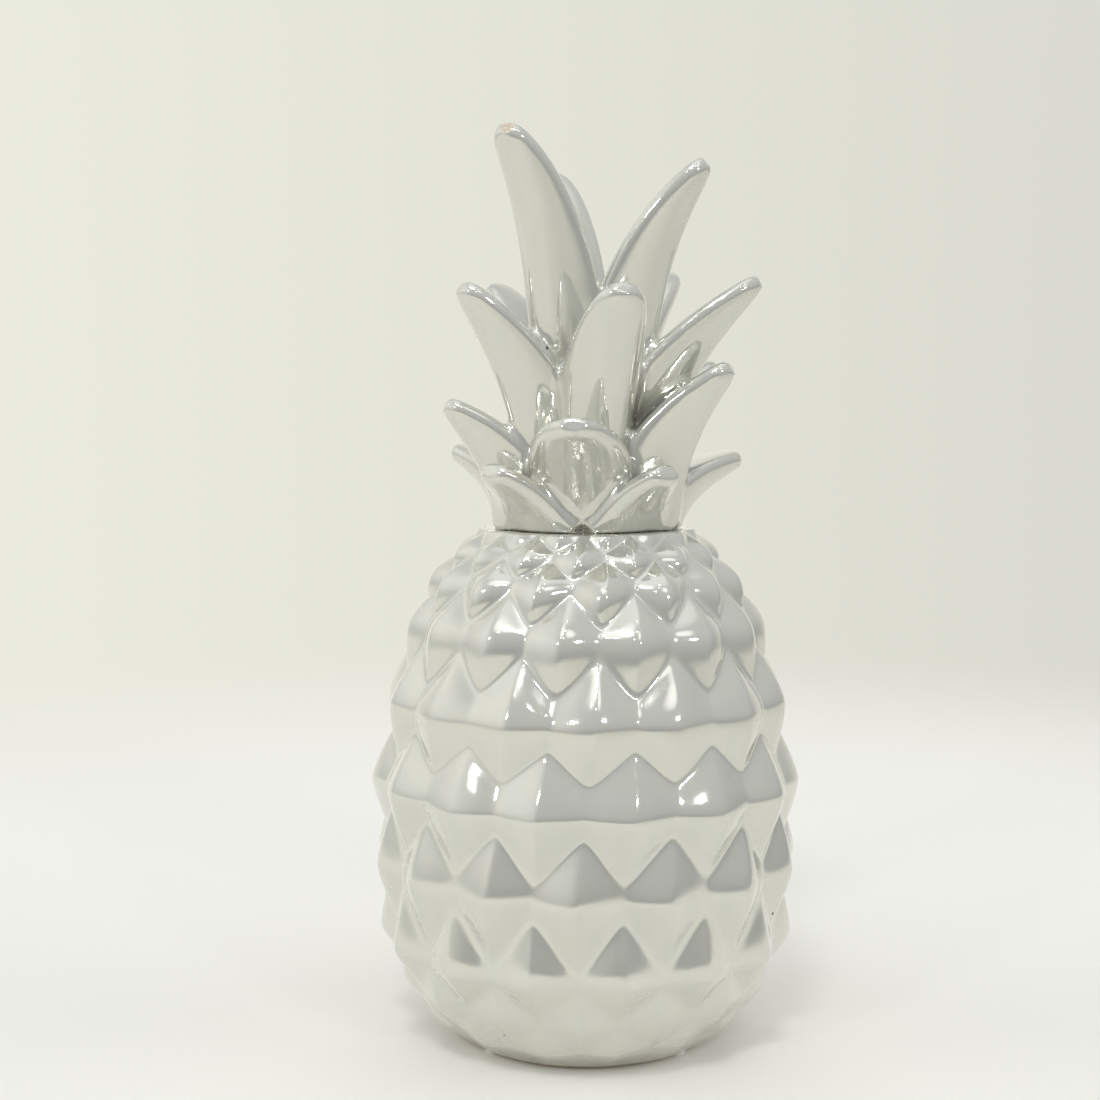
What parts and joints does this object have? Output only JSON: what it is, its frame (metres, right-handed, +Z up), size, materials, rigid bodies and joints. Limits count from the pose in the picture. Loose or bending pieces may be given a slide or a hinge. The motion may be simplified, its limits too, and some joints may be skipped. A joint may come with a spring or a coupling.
{
  "type": "ceramic coin bank",
  "caption": "Hollow glazed ceramic coin bank shaped as a pineapple, with a coin slot in the back and a soft plug in the base.",
  "frame": {"origin": "on the table under the middle of the body, in the plane of the pads' undersides", "axes": "+Z up along the body's axis, the pictured front towards -Y, the coin slot on the +Y side"},
  "size_m": [0.1533, 0.1538, 0.3133],
  "materials": {
    "pearl_glaze": "pearl lustre glaze, high gloss",
    "plug_vinyl": "soft satin vinyl",
    "pad_felt": "matte felt"
  },
  "bodies": {
    "bank": {"body_shell": "pearl_glaze", "crown_stem": "pearl_glaze", "top_leaf_1": "pearl_glaze", "top_leaf_2": "pearl_glaze", "top_leaf_3": "pearl_glaze", "upper_leaf_1": "pearl_glaze", "upper_leaf_2": "pearl_glaze", "upper_leaf_3": "pearl_glaze", "upper_leaf_4": "pearl_glaze", "upper_leaf_5": "pearl_glaze", "middle_leaf_1": "pearl_glaze", "middle_leaf_2": "pearl_glaze", "middle_leaf_3": "pearl_glaze", "middle_leaf_4": "pearl_glaze", "middle_leaf_5": "pearl_glaze", "base_leaf_1": "pearl_glaze", "base_leaf_2": "pearl_glaze", "base_leaf_3": "pearl_glaze", "base_leaf_4": "pearl_glaze", "base_leaf_5": "pearl_glaze", "foot_pad_1": "pad_felt", "foot_pad_2": "pad_felt", "foot_pad_3": "pad_felt", "foot_pad_4": "pad_felt"},
    "plug": {"base_plug": "plug_vinyl"}
  },
  "joints": [
    {"name": "plug_pull", "type": "slide", "parent": "bank", "child": "plug", "axis": [0, 0, -1], "range_m": [0, 0.03]}
  ]
}
